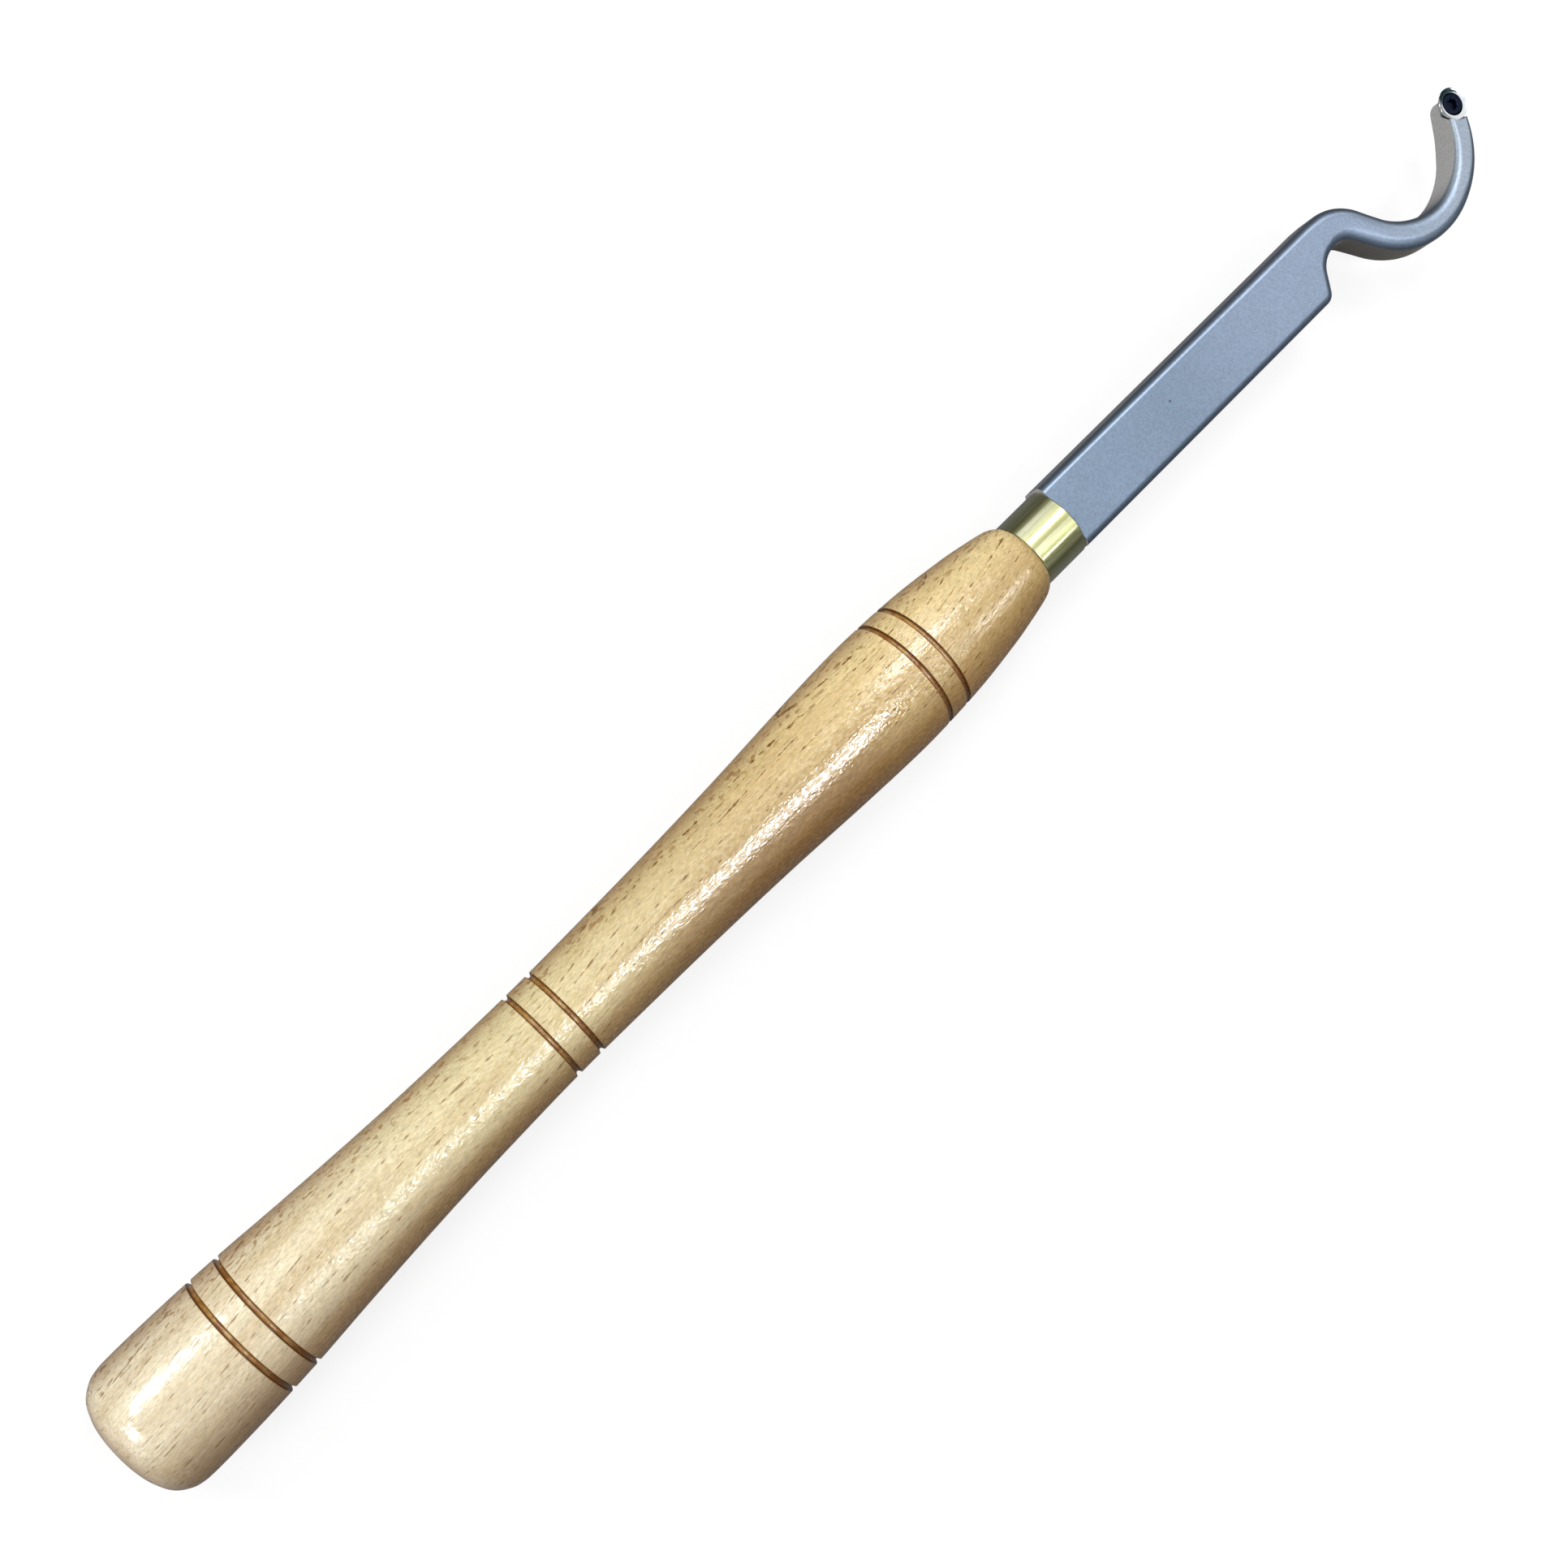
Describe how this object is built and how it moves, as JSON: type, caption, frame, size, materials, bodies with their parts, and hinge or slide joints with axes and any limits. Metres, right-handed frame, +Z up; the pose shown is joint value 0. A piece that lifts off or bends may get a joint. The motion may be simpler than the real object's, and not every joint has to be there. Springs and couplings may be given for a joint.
{
  "type": "swan neck hollowing tool",
  "caption": "Woodturner's hollowing tool: turned wooden handle, brass ferrule and a flat steel bar ending in a swan neck that carries a round carbide insert on a countersunk screw.",
  "frame": {"origin": "middle of the underside of the box round the whole tool, below the handle", "axes": "+X from the butt of the handle to the nose, +Z up out of the flat top of the bar on the insert's side, +Y to the side that the neck hooks back to"},
  "size_m": [0.4722, 0.035, 0.0346],
  "materials": {
    "beech": "clear gloss lacquer over straight grained beech",
    "brass": "brushed round the tube",
    "blasted_steel": "blue grey, bead blasted, satin",
    "carbide": "mirror polished",
    "screw_steel": "black oxide"
  },
  "bodies": {
    "tool": {"handle": "beech", "ferrule": "brass", "swan_neck_bar": "blasted_steel"},
    "cutter": {"cutter_insert": "carbide"},
    "screw": {"insert_screw": "screw_steel"}
  },
  "joints": [
    {"name": "cutter_index", "type": "hinge", "parent": "tool", "child": "cutter", "pos_m": [0.23146, 0.00543, 0.01957], "axis": [0.0943, -0.045, 0.9945], "continuous": true},
    {"name": "screw_turn", "type": "hinge", "parent": "tool", "child": "screw", "pos_m": [0.23146, 0.00543, 0.01957], "axis": [0.0943, -0.045, 0.9945], "continuous": true}
  ]
}
